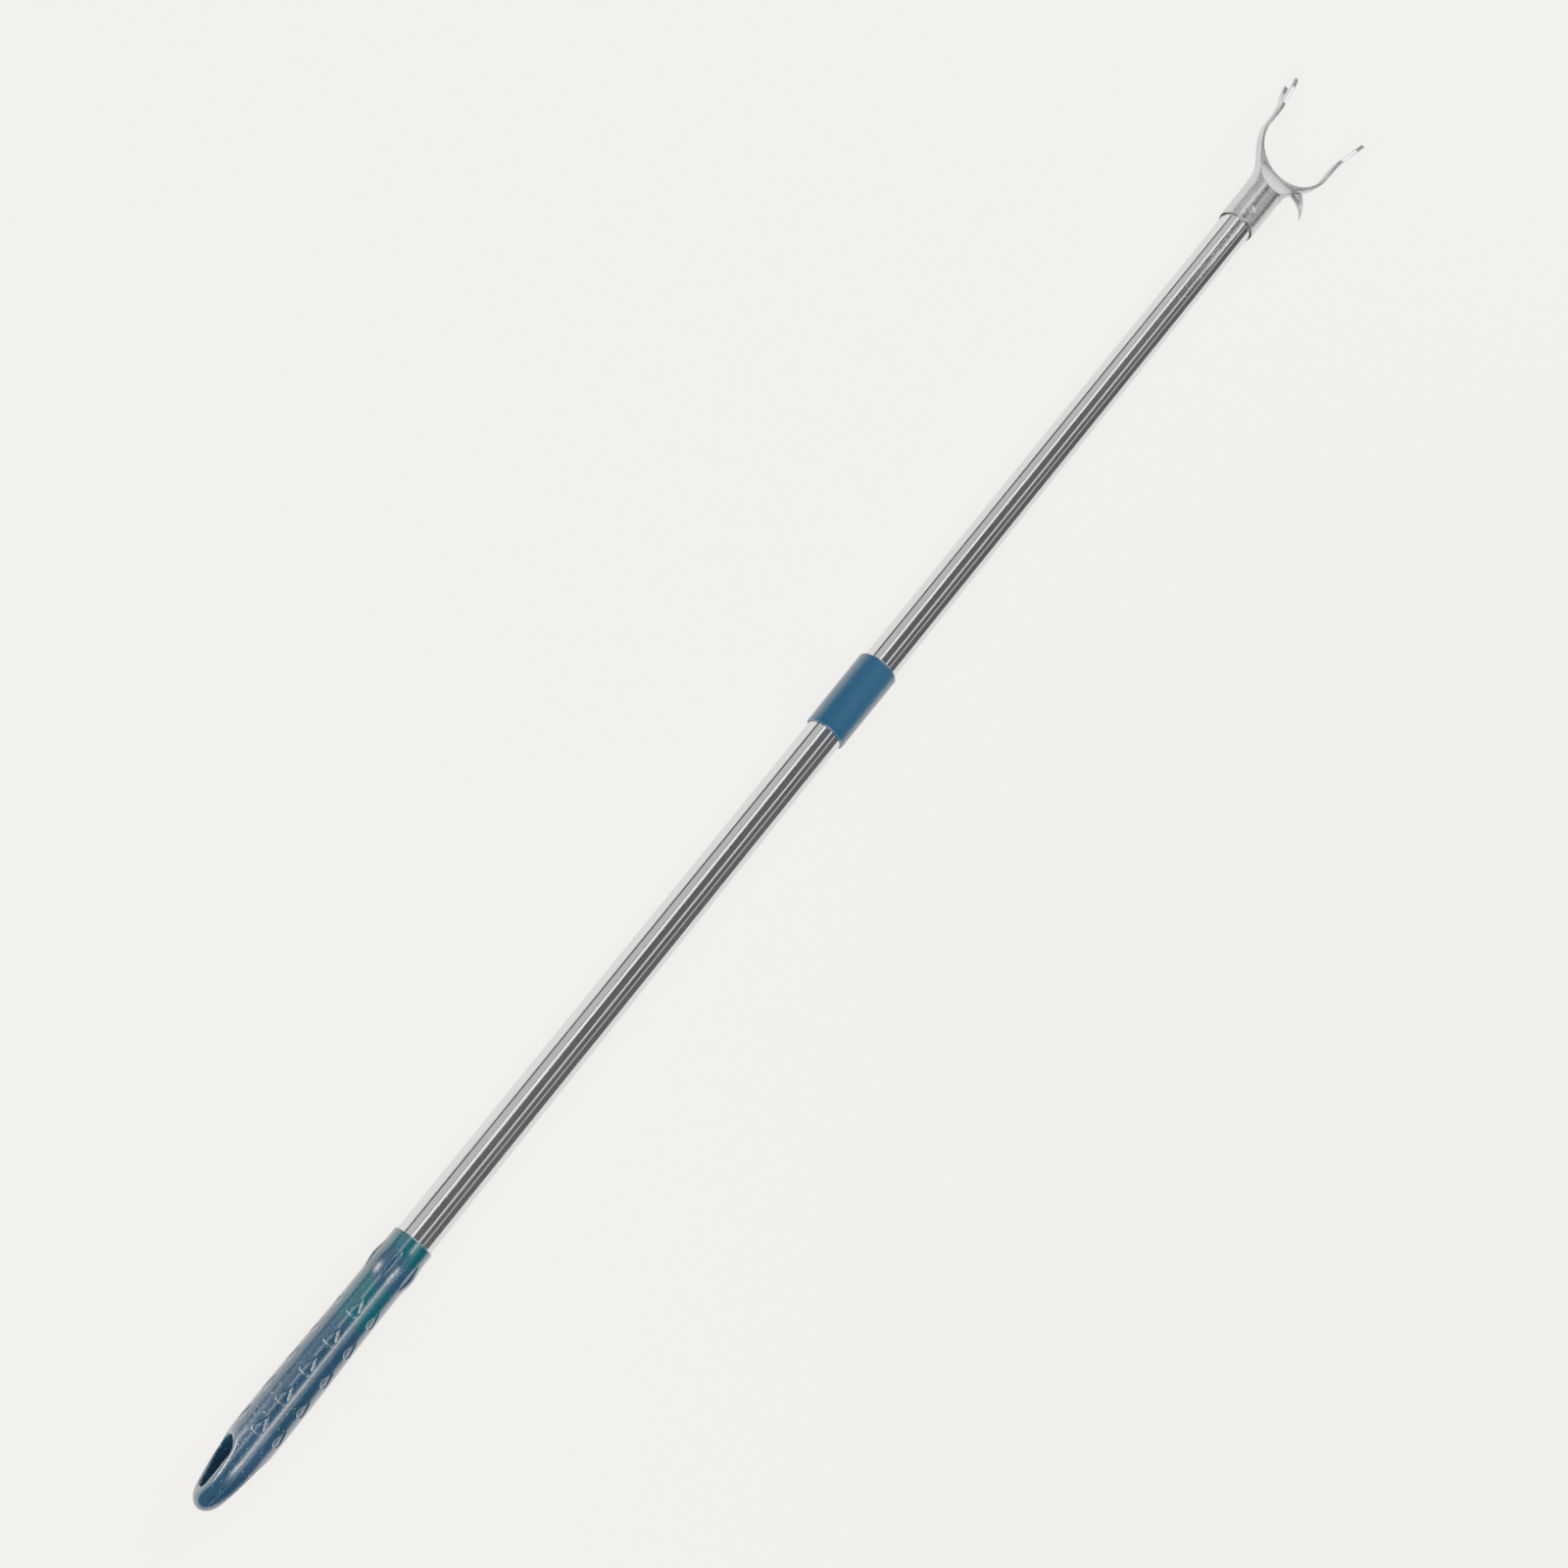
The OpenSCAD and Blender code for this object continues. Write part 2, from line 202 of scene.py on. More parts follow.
def new_piece(name, points, faces, material, body, slot_name, replaced=(), normals=None):
    """A mesh in metres that rides on a body, with the CAD nodes it stands for. The slot name is not
    used.
    """
    mesh = bpy.data.meshes.new(name)
    mesh.from_pydata([tuple(p) for p in points], [], [tuple(int(i) for i in f) for f in faces])
    mesh.validate()
    mesh.shade_smooth()
    if normals is not None:
        mesh.normals_split_custom_set_from_vertices([tuple(n) for n in normals])
    mesh.materials.append(material)
    piece = bpy.data.objects.new(name, mesh)
    bpy.context.scene.collection.objects.link(piece)
    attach(piece, body)
    if replaced:
        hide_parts(*replaced)
    return piece


def thinned(points, faces, keep):
    """The same surface with a share of its faces, fewest where it is plain."""
    mesh = bpy.data.meshes.new("thinning")
    mesh.from_pydata(points.tolist(), [], faces.tolist())
    holder = bpy.data.objects.new("thinning", mesh)
    bpy.context.scene.collection.objects.link(holder)
    holder.modifiers.new("thin", "DECIMATE").ratio = keep
    thin = holder.evaluated_get(bpy.context.evaluated_depsgraph_get()).to_mesh()
    points = np.array([v.co[:] for v in thin.vertices])
    faces = [tuple(polygon.vertices) for polygon in thin.polygons]
    bpy.data.objects.remove(holder)
    bpy.data.meshes.remove(mesh)
    return points, faces


def field_piece(name, field, lo, hi, cell, place, *rest, keep=1.0, **more):
    """A piece from a field. place turns millimetre points into metres in the row frame."""
    points, faces = surface(field, lo, hi, cell)
    if keep < 1.0:
        points, faces = thinned(points, faces, keep)
    _, slope = field_and_slope(field, points, 0.04)
    slope /= np.maximum(np.linalg.norm(slope, axis=1), 1e-9)[:, None]
    moved, turned = place(points), place(slope, turn=True)
    return new_piece(name, moved, faces, *rest, normals=turned, **more)


def lathe_piece(name, profile, *rest, around=160, **more):
    """A closed profile of (x, r) in metres, turned about the pole's axis."""
    x = np.array([p[0] for p in profile])
    r = np.array([p[1] for p in profile])
    a = np.linspace(0, 2 * math.pi, around, endpoint=False)
    points = np.stack(
        [
            np.repeat(x, around),
            (r[:, None] * np.cos(a)).ravel(),
            (r[:, None] * np.sin(a)).ravel() + AXIS_Z,
        ],
        axis=1,
    )
    n = len(profile)
    faces = []
    for i in range(n):
        j = (i + 1) % n
        for k in range(around):
            m = (k + 1) % around
            faces.append((i * around + k, j * around + k, j * around + m, i * around + m))
    return new_piece(name, points, faces, *rest, **more)


# ---- Materials -------------------------------------------------------------------


class Look:
    """A Principled material with procedural nodes, in object coordinates (metres)."""

    def __init__(self, name, colour, roughness, metallic=0.0, **fixed):
        self.material = bpy.data.materials.new(name)
        self.material.use_nodes = True
        self.tree = self.material.node_tree
        self.shader = self.tree.nodes["Principled BSDF"]
        self.set("Base Color", (*colour, 1.0))
        self.set("Roughness", roughness)
        self.set("Metallic", metallic)
        for key, value in fixed.items():
            self.set(key.replace("_", " "), value)
        self.coords = self.tree.nodes.new("ShaderNodeTexCoord").outputs["Object"]

    def set(self, socket, value):
        self.shader.inputs[socket].default_value = value

    def link(self, a, b):
        self.tree.links.new(a, b)

    def scaled(self, scale):
        n = self.tree.nodes.new("ShaderNodeMapping")
        n.inputs["Scale"].default_value = scale
        self.link(self.coords, n.inputs["Vector"])
        return n.outputs["Vector"]

    def noise(self, scale, detail=3.0, rough=0.5, stretch=(1, 1, 1), seed=0.0):
        n = self.tree.nodes.new("ShaderNodeTexNoise")
        n.noise_dimensions = "4D"
        n.inputs["W"].default_value = seed
        n.inputs["Scale"].default_value = scale
        n.inputs["Detail"].default_value = detail
        n.inputs["Roughness"].default_value = rough
        self.link(self.scaled(stretch), n.inputs["Vector"])
        return n.outputs["Fac"]

    def cells(self, scale, stretch=(1, 1, 1), seed=0.0):
        n = self.tree.nodes.new("ShaderNodeTexVoronoi")
        n.voronoi_dimensions = "4D"
        n.inputs["W"].default_value = seed
        n.inputs["Scale"].default_value = scale
        self.link(self.scaled(stretch), n.inputs["Vector"])
        return n.outputs["Distance"]

    def ramp(self, value, lo, hi, a, b):
        n = self.tree.nodes.new("ShaderNodeMapRange")
        n.interpolation_type = "SMOOTHSTEP"
        for key, v in zip(("From Min", "From Max", "To Min", "To Max"), (lo, hi, a, b)):
            n.inputs[key].default_value = v
        self.link(value, n.inputs["Value"])
        return n.outputs["Result"]

    def math(self, kind, a, b=None):
        n = self.tree.nodes.new("ShaderNodeMath")
        n.operation = kind
        for socket, v in zip(n.inputs, (a, b)):
            if v is None:
                continue
            if isinstance(v, (int, float)):
                socket.default_value = v
            else:
                self.link(v, socket)
        return n.outputs[0]

    def mix(self, factor, a, b):
        """Mixes two colours; a and b are colours or sockets."""
        n = self.tree.nodes.new("ShaderNodeMix")
        n.data_type = "RGBA"
        by_name = [s for s in n.inputs if s.enabled]
        for socket, v in zip(by_name, (factor, a, b)):
            if isinstance(v, tuple):
                socket.default_value = (*v, 1.0)
            elif isinstance(v, (int, float)):
                socket.default_value = v
            else:
                self.link(v, socket)
        return [s for s in n.outputs if s.enabled][0]

    def split(self):
        n = self.tree.nodes.new("ShaderNodeSeparateXYZ")
        self.link(self.coords, n.inputs[0])
        return n.outputs

    def bump(self, *layers):
        """Each layer is (height socket, distance in metres, strength)."""
        normal = None
        for height, distance, strength in layers:
            n = self.tree.nodes.new("ShaderNodeBump")
            n.inputs["Distance"].default_value = distance
            n.inputs["Strength"].default_value = strength
            self.link(height, n.inputs["Height"])
            if normal is not None:
                self.link(normal, n.inputs["Normal"])
            normal = n.outputs["Normal"]
        self.link(normal, self.shader.inputs["Normal"])

    def drive(self, socket, value):
        self.link(value, self.shader.inputs[socket])


def tube_steel(name, seed):
    """Polished tube: fine scratches along it, a few handling smudges, small dull spots."""
    look = Look(name, (0.60, 0.60, 0.61), 0.16, metallic=1.0)
    hair = look.noise(1.0, 4.0, 0.6, stretch=(9, 1500, 1500), seed=seed)
    line = look.noise(1.0, 2.0, 0.5, stretch=(3, 420, 420), seed=seed + 3)
    smudge = look.noise(14.0, 4.0, 0.6, stretch=(0.6, 1, 1), seed=seed + 7)
    spots = look.ramp(look.cells(260.0, seed=seed + 1), 0.04, 0.10, 1.0, 0.0)
    rough = look.math(
        "ADD",
        look.ramp(hair, 0.3, 0.75, 0.05, 0.13),
        look.ramp(smudge, 0.45, 0.75, 0.0, 0.09),
    )
    look.drive("Roughness", look.math("ADD", rough, look.math("MULTIPLY", spots, 0.12)))
    tint = look.mix(look.ramp(line, 0.35, 0.65, 0.0, 1.0), (0.70, 0.70, 0.715), (0.80, 0.80, 0.80))
    tint = look.mix(look.ramp(smudge, 0.5, 0.8, 0.0, 0.25), tint, (0.62, 0.61, 0.585))
    look.drive("Base Color", tint)
    look.bump((line, 0.00003, 0.10), (hair, 0.00001, 0.3))
    return look.material


def cast_metal(name):
    """Satin casting: soft grain, small pits, rubbed edges."""
    look = Look(name, (0.60, 0.60, 0.62), 0.36, metallic=1.0)
    grain = look.noise(900.0, 4.0, 0.6, seed=2)
    cloud = look.noise(70.0, 3.0, 0.5, seed=5)
    pits = look.ramp(look.cells(520.0, seed=4), 0.05, 0.16, 1.0, 0.0)
    geometry = look.tree.nodes.new("ShaderNodeNewGeometry")
    edge = look.ramp(geometry.outputs["Pointiness"], 0.52, 0.62, 0.0, 1.0)
    base = look.mix(look.ramp(cloud, 0.35, 0.7, 0.0, 1.0), (0.50, 0.50, 0.52), (0.64, 0.64, 0.655))
    base = look.mix(look.math("MULTIPLY", edge, 0.6), base, (0.80, 0.80, 0.81))
    look.drive("Base Color", look.mix(look.math("MULTIPLY", pits, 0.35), base, (0.34, 0.34, 0.35)))
    rough = look.ramp(grain, 0.3, 0.7, 0.24, 0.36)
    look.drive("Roughness", look.math("SUBTRACT", rough, look.math("MULTIPLY", edge, 0.12)))
    look.bump((cloud, 0.0004, 0.3), (grain, 0.00008, 0.45), (pits, -0.00006, 0.4))
    return look.material


DUST = (0.42, 0.48, 0.55)
PURPLISH = (0.62, 0.60, 0.95, 1.0)
TEAL, LILAC = (0.0015, 0.050, 0.064), (0.026, 0.048, 0.098)


def moulded(
    name, deep, light, roughness, seed,
    speck=0.5, waxy=0.12, zones=None, dusty=(0.5, 0.66), coat=0.3, specular=0.5,
):
    """Glossy coloured plastic: slow colour drift, fine scuffs, pale dust specks."""
    look = Look(
        name, deep, roughness, Subsurface_Weight=waxy, Subsurface_Scale=0.0015,
        Coat_Weight=coat, Coat_Roughness=0.10, Specular_IOR_Level=specular,
        Sheen_Weight=0.06, Sheen_Roughness=0.45,
    )
    look.set("Sheen Tint", PURPLISH)
    look.set("Subsurface Radius", (0.4, 0.8, 1.0))
    drift = look.noise(26.0, 3.0, 0.55, stretch=(0.6, 1, 1), seed=seed)
    fine = look.noise(650.0, 3.0, 0.6, seed=seed + 2)
    scuff = look.noise(1.0, 3.0, 0.65, stretch=(120, 900, 900), seed=seed + 4)
    dust = look.math(
        "MAXIMUM",
        look.ramp(look.cells(420.0, seed=seed + 1), 0.13, 0.20, 1.0, 0.0),
        look.ramp(look.cells(760.0, seed=seed + 5), 0.14, 0.22, 0.8, 0.0),
    )
    where = look.ramp(look.noise(60.0, 3.0, 0.6, seed=seed + 8), dusty[0], dusty[1], 0.0, 1.0)
    colour = look.mix(look.ramp(drift, 0.35, 0.66, 0.0, 1.0), deep, light)
    if zones:
        colour, where = zones(look, colour, where, drift)
    dust = look.math("MULTIPLY", dust, where)
    scratch = look.ramp(scuff, 0.66, 0.78, 0.0, 0.22)
    colour = look.mix(scratch, colour, tuple(min(1.0, c * 1.9 + 0.01) for c in light))
    look.drive("Base Color", look.mix(look.math("MULTIPLY", dust, speck), colour, DUST))
    rough = look.math(
        "ADD",
        look.ramp(fine, 0.3, 0.7, roughness - 0.04, roughness + 0.05),
        look.math("MULTIPLY", scratch, 0.5),
    )
    look.drive("Roughness", look.math("ADD", rough, look.math("MULTIPLY", dust, 0.2)))
    look.bump(
        (drift, 0.0004, 0.12), (fine, 0.00004, 0.3), (scuff, 0.00003, 0.3), (dust, 0.00006, 0.6),
    )
    return look.material


def grip_zones(look, colour, where, drift):
    """Greener at the mouth and past the swell, lilac clouds, more specks towards the nose."""
    mouth, nose = grip_hi[0], grip_lo[0]
    x = look.split()[0]
    x = look.math("ADD", x, look.math("MULTIPLY", look.math("SUBTRACT", drift, 0.5), 0.03))
    at_mouth = look.ramp(x, mouth - 0.016, mouth - 0.007, 0.0, 1.0)
    past_swell = look.math(
        "MULTIPLY",
        look.ramp(x, mouth - 0.056, mouth - 0.044, 0.0, 1.0),
        look.ramp(x, mouth - 0.030, mouth - 0.024, 1.0, 0.0),
    )
    colour = look.mix(look.math("MAXIMUM", at_mouth, past_swell), colour, TEAL)
    cloud = look.noise(38.0, 3.0, 0.5, stretch=(0.5, 1, 1), seed=77.0)
    cloud = look.ramp(cloud, 0.50, 0.72, 0.0, 0.8)
    cloud = look.math("MULTIPLY", cloud, look.ramp(x, nose + 0.02, nose + 0.13, 1.0, 0.25))
    colour = look.mix(cloud, colour, LILAC)
    where = look.math("MULTIPLY", where, look.ramp(x, nose + 0.03, nose + 0.12, 1.0, 0.15))
    return colour, where


def simple_part(name, colour, roughness, metallic=0.0, seed=0.0):
    """Hidden pieces: moulded or turned, with a fine grain and slight wear."""
    look = Look(name, colour, roughness, metallic=metallic)
    grain = look.noise(800.0, 3.0, 0.6, seed=seed)
    wear = look.noise(90.0, 3.0, 0.5, seed=seed + 1)
    dark = tuple(c * 0.8 for c in colour)
    look.drive("Base Color", look.mix(look.ramp(wear, 0.35, 0.7, 0.0, 1.0), dark, colour))
    smooth = max(roughness - 0.06, 0.05)
    look.drive("Roughness", look.ramp(grain, 0.3, 0.7, smooth, roughness + 0.08))
    look.bump((grain, 0.00005, 0.4))
    return look.material


upper_steel = tube_steel("upper_tube_polish", 11.0)
lower_steel = tube_steel("lower_tube_polish", 31.0)
casting = cast_metal("fork_casting")
grip_plastic = moulded(
    "grip_plastic", (0.0062, 0.030, 0.056), (0.012, 0.038, 0.074), 0.25, 3.0,
    speck=0.9, zones=grip_zones, dusty=(0.40, 0.58),
)
collar_plastic = moulded(
    "collar_plastic", (0.0140, 0.055, 0.106), (0.0190, 0.064, 0.123), 0.34, 41.0,
    speck=0.45, waxy=0.08, dusty=(0.60, 0.70), coat=0.05, specular=0.30,
)
rivet_metal = simple_part("rivet_aluminium", (0.72, 0.72, 0.73), 0.28, metallic=1.0, seed=6)
hidden = {
    "fastener_steel": simple_part(
        "fastener_plating", (0.55, 0.55, 0.56), 0.32, metallic=1.0, seed=8
    ),
    "nylon": simple_part("natural_nylon", (0.72, 0.70, 0.62), 0.45, seed=12),
    "inner_plastic": simple_part("black_plastic", (0.03, 0.03, 0.033), 0.42, seed=14),
    "lock_plastic": simple_part("blue_lock_plastic", (0.05, 0.14, 0.30), 0.40, seed=16),
}


# ---- Fork ----------------------------------------------------------------------------
# x runs from the socket's mouth, y across the fork, z up. The cradle is the round bottom
# between the arms, and RIM is where its edge crosses the middle. ROOT_AT is where the
# round socket starts to flatten out.

FORK_LEN = (fork_hi[0] - fork_lo[0]) / MM
SOCKET_R, SOCKET_BORE, BORE_LEN = 12.1, 10.72, 30.5
CRADLE_AT, CRADLE_R = 72.5, 24.0
RIM = CRADLE_AT - CRADLE_R
BEND_AT, BEND_Y = 86.0, 25.3
ARM_W, ARM_T = 2.9, 8.0
TIP_Y = 30.5
PRONG_OUT, PRONG_R = 8.0, 1.7
RAMP_FROM, RAMP_TO = 90.5, 100.5
ROOT_AT, ROOT_HALF = 33.0, 14.9
RIVET_AT = 8.7


def arm_outline():
    """Half of the plan view: the socket's flank, the arm and the cradle's rim."""
    lean = (TIP_Y - BEND_Y) / (FORK_LEN - BEND_AT)
    ease_over = 2.4
    flank = bezier([(38, 12.1), (46.5, 12.1), (55.5, 24.2), (69, 26.55)], 16)
    outer, inner = [], []
    for x in np.arange(77.0, FORK_LEN + 2.0, 2.0):
        y = BEND_Y + lean * ease_over * math.log1p(math.exp((x - BEND_AT) / ease_over))
        outer.append((x, y + ARM_W / 2))
        inner.append((x, y - ARM_W / 2 + 0.25 * (x < BEND_AT)))
    inner.reverse()
    rim = [
        (CRADLE_AT + CRADLE_R * math.cos(a), CRADLE_R * math.sin(a))
        for a in np.radians(np.linspace(92, 193, 30))
    ]
    return [(ROOT_AT, -5.0), (ROOT_AT, 12.1)] + list(flank) + outer + inner + rim


def prong_outline():
    """Half of the side view: a level arm that splits into two prongs."""
    middle_y = PRONG_OUT - PRONG_R
    round_end = [
        (FORK_LEN - PRONG_R + PRONG_R * math.cos(t), middle_y + PRONG_R * math.sin(t))
        for t in np.radians(np.linspace(85, -85, 11))
    ]
    return (
        [(20, -4), (20, ARM_T / 2), (RAMP_FROM, ARM_T / 2), (RAMP_TO, PRONG_OUT)]
        + [(FORK_LEN - PRONG_R, PRONG_OUT)]
        + round_end
        + [(FORK_LEN - PRONG_R, middle_y - PRONG_R), (RAMP_TO + 1, middle_y - PRONG_R)]
        + [(RAMP_FROM + 1.6, 0), (RAMP_FROM + 1.6, -4)]
    )


def claw_outline():
    back = bezier([(56, -17), (51, -23.5), (45.5, -27.6), (37, -29.2)], 14)
    front = bezier([(37.2, -28.7), (42.5, -26.8), (46.5, -21.5), (45.4, -12)], 14)
    return list(back) + list(front)


ARM, PRONG, CLAW = arm_outline(), prong_outline(), claw_outline()
NUB_AT, NUB_R = (50.6, -17.3, 3.2), 0.9  # a small lump of metal above the claw


def root_field(x, y, z):
    """The round socket as it flattens out into the two arms."""
    t = np.clip((x - ROOT_AT) / (RIM - ROOT_AT), 0.0, 1.0)
    across, depth = np.abs(y) - ROOT_HALF * t, np.abs(z) - ARM_T / 2 * t
    outside = np.hypot(np.maximum(across, 0), np.maximum(depth, 0))
    return outside + np.minimum(np.maximum(across, depth), 0) - SOCKET_R * (1 - t)


def fork_field(x, y, z):
    if x.ndim == 3:
        plan = outline_field(ARM, x[:, :, :1], np.abs(y[:, :, :1]))
        profile = outline_field(PRONG, x[:, :1, :], np.abs(z[:, :1, :]))
        thorn = outline_field(CLAW, x[:, :, :1], y[:, :, :1])
    else:
        plan = outline_field(ARM, x, np.abs(y))
        profile = outline_field(PRONG, x, np.abs(z))
        thorn = outline_field(CLAW, x, y)
    r = np.hypot(y, z)
    up = np.abs(z)
    # a fine groove along the flank's top edge, from the root into each arm
    inset = 0.95 + 1.0 * step(x, 40.0, 52.0) - 1.15 * step(x, 56.0, 72.0)
    groove = 0.34 * np.exp(-(((plan + inset) / 0.30) ** 2)) * step(x, 39.0, 43.0)
    groove = groove * (1 - step(x, 80.0, 90.0))
    flank = 0.55 * step(plan + inset, -0.25, 0.35) * step(x, 40.0, 46.0) * (1 - step(x, 74.0, 88.0))
    level = smooth_min(profile + 0 * y, root_field(x, y, z), 0.8)
    arms = smooth_max(plan + 0 * z, level + groove + flank, 0.55)
    socket = r - SOCKET_R - 0.22 * np.exp(-((x / 1.3) ** 2))
    socket = smooth_max(socket, x - 38.0, 0.5)
    body = smooth_min(socket, arms, 0.9)
    # the scoop between the socket and the cradle's rim
    s = np.clip((RIM - x) / 17.9, 0.0, 1.2)
    scoop = (up - (4.0 + 8.5 * s**1.7)) / np.sqrt(1 + (0.81 * s**0.7) ** 2)
    scoop = scoop - 9.0 * step(x, 56.0, 80.0)
    body = smooth_max(body, scoop, 0.45)
    body = smooth_max(body, CRADLE_R - np.hypot(x - CRADLE_AT, y), 0.8)
    claw = smooth_max(thorn + 0 * z, up - 0.85 - 0.75 * np.clip(-thorn, 0, 2.0), 0.35)
    body = smooth_min(body, claw, 0.8)
    nub = (x - NUB_AT[0]) ** 2 + (y - NUB_AT[1]) ** 2 + (up - NUB_AT[2]) ** 2
    body = smooth_min(body, np.sqrt(nub) - NUB_R, 0.5)
    body = smooth_max(body, -x, 0.7)
    bore = np.maximum(r - SOCKET_BORE - 1.0 * np.clip(1.0 - x / 2.0, 0.0, 1.0), x - BORE_LEN)
    body = smooth_max(body, -bore, 0.25)
    seat = np.maximum(np.hypot(x - RIVET_AT, y) - 2.47, -z)
    return smooth_max(body, -seat, 0.35)


def fork_place(p, turn=False):
    if turn:
        return p
    return p * MM + np.array([fork_lo[0], 0.0, AXIS_Z])


bodies = frame["record"]["behaviour"]["bodies"]
body_of = {node: body for body, names in bodies.items() for node in names}
CELL = 0.36

fork = field_piece(
    "fork_casting", fork_field, (0, -32.1, -12.4), (FORK_LEN, 32.1, 12.4), CELL, fork_place,
    casting, body_of["fork_head"], "cast_metal", replaced=["fork_head"],
)


def rivet_field(x, y, z):
    """Dished rivet head over a shank, with a rolled rim."""
    r = np.hypot(x, y)
    head = smooth_max(r - 2.42, np.maximum(z - 12.2, 10.6 - z), 0.35)
    dish = np.hypot(r, z - 13.9) - 2.45
    head = smooth_max(head, -dish, 0.35)
    shank = np.maximum(r - 1.4, np.maximum(z - 11.5, 2.0 - z))
    return smooth_min(head, shank, 0.3)


def rivet_place(p, turn=False):
    if turn:
        return p
    return p * MM + np.array([fork_lo[0] + RIVET_AT * MM, 0.0, AXIS_Z])


rivet = field_piece(
    "fork_rivet_head", rivet_field, (-2.6, -2.6, 1.8), (2.6, 2.6, 12.6), 0.16, rivet_place,
    rivet_metal, body_of["fork_rivet"], "rivet_metal", replaced=["fork_rivet"],
)


# ---- Grip ------------------------------------------------------------------------------
# s runs from the nose, p along the hanging hole and q square to both.

GRIP_LEN = (grip_hi[0] - grip_lo[0]) / MM
MOUTH_R, BELLY_R = 12.1, 13.08
GRIP_TURN = math.radians(14)
SWELL_AT, SWELL_HALF = GRIP_LEN - 17, 10.5
FIRST_DROP, DROP_PITCH, DROPS, ROWS = GRIP_LEN - 44.5 - 2, 18.0, 5, 6
NOSE_LEN, NOSE_R = 34.0, 12.9
# half the nose's width between its flat sides, at these distances from its tip
SIDE_AT = [6.8, 12, 18, 24, 30, 33, 36, 40, 44, 60]
SIDE_HALF = [6.8, 6.9, 7.5, 8.3, 9.2, 9.9, 11.2, 13.3, 15, 22]


def bump_curve(x):
    """One smooth hump over -1 to 1."""
    return np.where(np.abs(x) < 1, (1 + np.cos(np.pi * np.clip(x, -1, 1))) / 2, 0)


def ease(x):
    """0 to 1 over the same range of x, level at both ends."""
    return (1 - np.cos(np.pi * np.clip(x, 0, 1))) / 2


def trunk_r(s):
    rise = bump_curve((s - SWELL_AT) / SWELL_HALF) + ease((GRIP_LEN - 31 - s) / (GRIP_LEN - 91))
    return MOUTH_R + (BELLY_R - MOUTH_R) * rise


def uneven_capsule(u, v, r1, r2, h):
    """Field of two circles, at (0, 0) and (0, h), and the hull between them."""
    u = np.abs(u)
    b = (r1 - r2) / h
    a = math.sqrt(1 - b * b)
    k = a * v - b * u
    return np.where(
        k < 0,
        np.hypot(u, v) - r1,
        np.where(k > a * h, np.hypot(u, v - h) - r2, a * u + b * v - r1),
    )


def grip_field(s, p, q):
    r = np.hypot(p, q)
    angle = np.arctan2(q, p)
    row = np.pi * 2 / ROWS
    across = (angle - row * np.round(angle / row)) * r
    a = np.clip(1 - s / NOSE_LEN, 0.0, 3.0)
    f = a**2.3 + (r / NOSE_R) ** 2 - 1
    size = np.hypot(2.3 * a**1.3 / NOSE_LEN, 2 * np.maximum(r, 1.0) / NOSE_R**2)
    nose = f / size
    trunk = r - (trunk_r(s) - (trunk_r(NOSE_LEN) - NOSE_R) * ease((46 - s) / 12))
    skin = np.where(s > NOSE_LEN, trunk, nose)
    # recessed drops, each with its point towards the mouth
    i = np.clip(np.round((FIRST_DROP + 2 - s) / DROP_PITCH), 0, DROPS - 1)
    drop = uneven_capsule(across, s - (FIRST_DROP - DROP_PITCH * i), 2.95, 0.3, 6.6)
    deep = 0.38 + 0.27 * step(s - (FIRST_DROP - DROP_PITCH * i), -3.0, 5.0)
    skin = skin + deep * (1 - step(drop, -0.85, 0.12))
    skin = skin - 0.10 * np.exp(-(((drop - 0.28) / 0.26) ** 2))
    # leaf-shaped flutes in the swell
    u = np.clip((s - SWELL_AT) / 8.6, -1, 1)
    half = np.maximum(2.5 * (1 - u * u), 0.05)
    leaf = np.clip(1 - (across / half) ** 2, 0, 1)
    skin = skin + 1.05 * np.sqrt(leaf) * np.where(np.abs(u) < 1, 1, 0) * (1 - u * u)
    # the mould's parting line
    seam = np.where(p > 0, np.exp(-np.abs(p) / 1.5), np.exp(-((p / 0.22) ** 2)))
    skin = skin - 0.24 * seam * step(np.abs(q), 6, 9)
    # flat sides of the nose
    side = np.interp(s, SIDE_AT, SIDE_HALF)
    flats = np.where(s < 6.8, np.hypot(p, s - 6.8) - 6.8, np.abs(p) - side)
    solid = smooth_max(skin, flats, 1.8)
    hole = uneven_capsule(q, 29.5 - s, 7.8, 3.5, 16.5)
    solid = smooth_max(solid, -hole, 1.5)
    solid = smooth_max(solid, s - GRIP_LEN, 0.9)
    bore = np.maximum(r - 11.03, GRIP_LEN - 118.5 - s)
    return smooth_max(solid, -bore, 0.3)


def grip_place(p, turn=False):
    c, t = math.cos(GRIP_TURN), math.sin(GRIP_TURN)
    out = np.stack([p[:, 0], p[:, 1] * c - p[:, 2] * t, p[:, 1] * t + p[:, 2] * c], axis=1)
    if turn:
        return out
    return out * MM + np.array([grip_lo[0], 0.0, AXIS_Z])


grip = field_piece(
    "grip_moulding", grip_field, (0, -BELLY_R, -BELLY_R), (GRIP_LEN, BELLY_R, BELLY_R),
    CELL, grip_place, grip_plastic, body_of["grip"], "grip_plastic", replaced=["grip"], keep=0.42,
)


# ---- Tubes and collar -----------------------------------------------------------------


TUBE_WALL = 0.0003


def tube_profile(x0, x1, outer, edge=0.00012):
    """A tube's section, with its outer edges broken."""
    return [
        (x0, outer - edge), (x0 + edge, outer), (x0 + edge * 3, outer),
        *[(x0 + (x1 - x0) * i / 40, outer) for i in range(1, 40)],
        (x1 - edge * 3, outer), (x1 - edge, outer), (x1, outer - edge),
        (x1, outer - TUBE_WALL), (x0, outer - TUBE_WALL),
    ]


def radius(lo, hi):
    return (hi[2] - lo[2]) / 2


